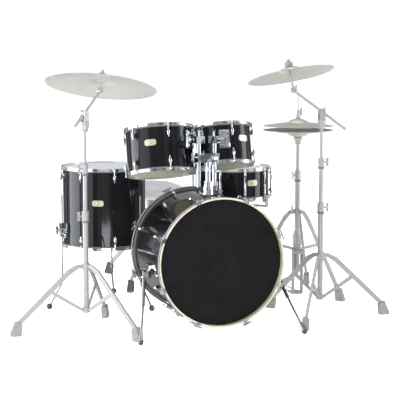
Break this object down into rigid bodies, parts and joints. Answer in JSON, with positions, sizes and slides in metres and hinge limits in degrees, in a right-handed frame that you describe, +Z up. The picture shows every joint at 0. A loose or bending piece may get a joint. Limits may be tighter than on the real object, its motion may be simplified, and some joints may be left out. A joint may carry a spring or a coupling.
{
  "type": "acoustic drum kit",
  "caption": "Acoustic drum kit with bass drum, rack toms, floor tom, snare, boom-mounted cymbals, hi-hat, foot pedals and a drummer's seat.",
  "frame": {"origin": "on the floor, under the middle of the whole kit's bounding box", "axes": "+Z up; +Y runs along the bass drum from its front head towards the drummer; +X runs towards the hi-hat"},
  "size_m": [1.8282, 1.8581, 1.2251],
  "materials": {
    "black_lacquer": "gloss",
    "drum_head": "satin",
    "bass_head": "matte",
    "hoop_chrome": "polished",
    "hoop_wood": "lacquered",
    "hardware_chrome": "polished",
    "stand_steel": "plated",
    "cymbal_metal": "brushed",
    "pedal_metal": "cast",
    "seat_vinyl": "grained"
  },
  "bodies": {
    "kit_base": {"bass_shell": "black_lacquer", "floor_tom_shell": "black_lacquer", "floor_tom_heads": "drum_head", "bass_heads": "bass_head", "floor_tom_hoops": "hoop_chrome", "bass_hoops": "hoop_wood", "floor_tom_lugs": "hardware_chrome", "bass_tension_hardware": "hardware_chrome", "shell_mount_brackets": "hardware_chrome", "ride_tripod": "stand_steel", "crash_tripod": "stand_steel", "hihat_tripod": "stand_steel", "snare_stand_tripod": "stand_steel", "throne_tripod": "stand_steel", "kick_pedal_frame": "pedal_metal"},
    "ride_middle": {"ride_middle_tube": "stand_steel"},
    "ride_upper": {"ride_upper_tube": "stand_steel"},
    "ride_boom": {"ride_boom_arm": "stand_steel"},
    "ride_tilt_head": {"ride_tilter": "stand_steel"},
    "ride_cymbal_plate": {"ride_cymbal": "cymbal_metal"},
    "crash_middle": {"crash_middle_tube": "stand_steel"},
    "crash_upper": {"crash_upper_tube": "stand_steel"},
    "crash_boom": {"crash_boom_arm": "stand_steel"},
    "crash_tilt_head": {"crash_tilter": "stand_steel"},
    "crash_cymbal_plate": {"crash_cymbal": "cymbal_metal"},
    "hihat_upper": {"hihat_upper_tube": "stand_steel", "hihat_bottom_cymbal": "cymbal_metal"},
    "hihat_rod": {"hihat_pull_rod": "stand_steel", "hihat_top_cymbal": "cymbal_metal"},
    "hihat_pedal_board": {"hihat_footboard": "pedal_metal"},
    "beater": {"kick_beater": "pedal_metal"},
    "kick_board": {"kick_footboard": "pedal_metal"},
    "throne_column": {"throne_post": "stand_steel"},
    "throne_seat": {"throne_cushion": "seat_vinyl", "throne_seat_bracket": "stand_steel"},
    "snare_column": {"snare_stand_post": "stand_steel"},
    "snare_drum": {"snare_basket": "stand_steel", "snare_shell": "black_lacquer", "snare_heads": "drum_head", "snare_hoops": "hoop_chrome", "snare_lugs": "hardware_chrome", "snare_wires": "hardware_chrome", "snare_strainer": "hardware_chrome"},
    "throw_off": {"snare_throw_off_lever": "hardware_chrome"},
    "tom_holder": {"tom_holder_post": "hardware_chrome"},
    "tom12_arm_set": {"tom12_arm": "hardware_chrome"},
    "tom12_drum": {"tom12_shell": "black_lacquer", "tom12_heads": "drum_head", "tom12_hoops": "hoop_chrome", "tom12_lugs_and_mount": "hardware_chrome"},
    "tom10_arm_set": {"tom10_arm": "hardware_chrome"},
    "tom10_drum": {"tom10_shell": "black_lacquer", "tom10_heads": "drum_head", "tom10_hoops": "hoop_chrome", "tom10_lugs_and_mount": "hardware_chrome"},
    "left_spur_leg": {"left_spur": "hardware_chrome"},
    "right_spur_leg": {"right_spur": "hardware_chrome"},
    "floor_leg_1": {"floor_tom_leg_1": "hardware_chrome"},
    "floor_leg_2": {"floor_tom_leg_2": "hardware_chrome"},
    "floor_leg_3": {"floor_tom_leg_3": "hardware_chrome"}
  },
  "joints": [
    {"name": "ride_lower_height", "type": "slide", "parent": "kit_base", "child": "ride_middle", "axis": [0, 0, 1], "range_m": [-0.04, 0.1]},
    {"name": "ride_upper_height", "type": "slide", "parent": "ride_middle", "child": "ride_upper", "axis": [0, 0, 1], "range_m": [-0.04, 0.1]},
    {"name": "ride_boom_tilt", "type": "hinge", "parent": "ride_upper", "child": "ride_boom", "pos_m": [-0.56492, -0.57106, 0.99], "axis": [-0.5352, 0.8447, 0], "range_deg": [-5, 12]},
    {"name": "ride_cymbal_tilt", "type": "hinge", "parent": "ride_boom", "child": "ride_tilt_head", "pos_m": [-0.47684, -0.51526, 1.08622], "axis": [0.4118, -0.8997, 0.1448], "range_deg": [-12, 12]},
    {"name": "ride_cymbal_spin", "type": "hinge", "parent": "ride_tilt_head", "child": "ride_cymbal_plate", "pos_m": [-0.47392, -0.51106, 1.104], "axis": [0.1576, 0.2268, 0.9611], "continuous": true},
    {"name": "crash_lower_height", "type": "slide", "parent": "kit_base", "child": "crash_middle", "axis": [0, 0, 1], "range_m": [-0.04, 0.1]},
    {"name": "crash_upper_height", "type": "slide", "parent": "crash_middle", "child": "crash_upper", "axis": [0, 0, 1], "range_m": [-0.04, 0.1]},
    {"name": "crash_boom_tilt", "type": "hinge", "parent": "crash_upper", "child": "crash_boom", "pos_m": [0.56508, -0.59606, 0.98], "axis": [0.0329, -0.9995, 0], "range_deg": [-5, 12]},
    {"name": "crash_cymbal_tilt", "type": "hinge", "parent": "crash_boom", "child": "crash_tilt_head", "pos_m": [0.42085, -0.60081, 1.08048], "axis": [-0.2108, 0.9428, -0.2581], "range_deg": [-12, 12]},
    {"name": "crash_cymbal_spin", "type": "hinge", "parent": "crash_tilt_head", "child": "crash_cymbal_plate", "pos_m": [0.41308, -0.58406, 1.148], "axis": [-0.1109, 0.2392, 0.9646], "continuous": true},
    {"name": "hihat_height", "type": "slide", "parent": "kit_base", "child": "hihat_upper", "axis": [0, 0, 1], "range_m": [-0.1, 0]},
    {"name": "hihat_rod_slide", "type": "slide", "parent": "kit_base", "child": "hihat_rod", "axis": [0, 0, 1], "range_m": [-0.019, 0], "stiffness_N_per_m": 300, "springref_m": 0.08},
    {"name": "hihat_pedal", "type": "hinge", "parent": "kit_base", "child": "hihat_pedal_board", "pos_m": [0.68408, 0.26094, 0.017], "axis": [1, 0, 0], "range_deg": [0, 5]},
    {"name": "kick_beater_swing", "type": "hinge", "parent": "kit_base", "child": "beater", "pos_m": [-0.02192, -0.36206, 0.262], "axis": [1, 0, 0], "range_deg": [0, 62], "stiffness_Nm_per_rad": 0.8, "springref_deg": -34.38},
    {"name": "kick_pedal_swing", "type": "hinge", "parent": "kit_base", "child": "kick_board", "pos_m": [-0.02192, -0.12806, 0.018], "axis": [1, 0, 0], "range_deg": [0, 18.1]},
    {"name": "throne_height", "type": "slide", "parent": "kit_base", "child": "throne_column", "axis": [0, 0, 1], "range_m": [-0.04, 0.08]},
    {"name": "throne_spin", "type": "hinge", "parent": "throne_column", "child": "throne_seat", "pos_m": [0.05808, 0.59394, 0.54], "axis": [0, 0, 1], "continuous": true},
    {"name": "snare_height", "type": "slide", "parent": "kit_base", "child": "snare_column", "axis": [0, 0, 1], "range_m": [0, 0.04]},
    {"name": "snare_tilt", "type": "hinge", "parent": "snare_column", "child": "snare_drum", "pos_m": [0.24508, -0.23306, 0.47665], "axis": [1, 0, 0], "range_deg": [-12, 0]},
    {"name": "snare_throw_off", "type": "hinge", "parent": "snare_drum", "child": "throw_off", "pos_m": [0.40649, -0.11362, 0.6205], "axis": [-0.5948, 0.8039, 0], "range_deg": [-95, 0]},
    {"name": "tom_holder_height", "type": "slide", "parent": "kit_base", "child": "tom_holder", "axis": [0, 0, 1], "range_m": [0, 0.04]},
    {"name": "tom12_swing", "type": "hinge", "parent": "tom_holder", "child": "tom12_arm_set", "pos_m": [-0.06332, -0.67406, 0.788], "axis": [0, 0, 1], "range_deg": [0, 20]},
    {"name": "tom12_tilt", "type": "hinge", "parent": "tom12_arm_set", "child": "tom12_drum", "pos_m": [-0.06332, -0.67406, 0.868], "axis": [1, 0, 0], "range_deg": [-4, 13.4]},
    {"name": "tom10_swing", "type": "hinge", "parent": "tom_holder", "child": "tom10_arm_set", "pos_m": [0.01068, -0.67406, 0.788], "axis": [0, 0, 1], "range_deg": [-15, 1]},
    {"name": "tom10_tilt", "type": "hinge", "parent": "tom10_arm_set", "child": "tom10_drum", "pos_m": [0.01068, -0.67406, 0.868], "axis": [1, 0, 0], "range_deg": [0, 13.4]},
    {"name": "left_spur_fold", "type": "hinge", "parent": "kit_base", "child": "left_spur_leg", "pos_m": [-0.31992, -0.70106, 0.288], "axis": [1, 0, 0], "range_deg": [-50, 0]},
    {"name": "right_spur_fold", "type": "hinge", "parent": "kit_base", "child": "right_spur_leg", "pos_m": [0.27608, -0.70106, 0.288], "axis": [1, 0, 0], "range_deg": [-50, 0]},
    {"name": "floor_tom_leg_1_slide", "type": "slide", "parent": "kit_base", "child": "floor_leg_1", "axis": [0, 0, 1], "range_m": [0, 0.08]},
    {"name": "floor_tom_leg_2_slide", "type": "slide", "parent": "kit_base", "child": "floor_leg_2", "axis": [0, 0, 1], "range_m": [0, 0.08]},
    {"name": "floor_tom_leg_3_slide", "type": "slide", "parent": "kit_base", "child": "floor_leg_3", "axis": [0, 0, 1], "range_m": [0, 0.08]}
  ],
  "couplings": [
    {"joint": "hihat_pedal", "follows": "hihat_rod_slide", "rad_per_m": -4.5045},
    {"joint": "kick_pedal_swing", "follows": "kick_beater_swing", "ratio": 0.2903}
  ]
}
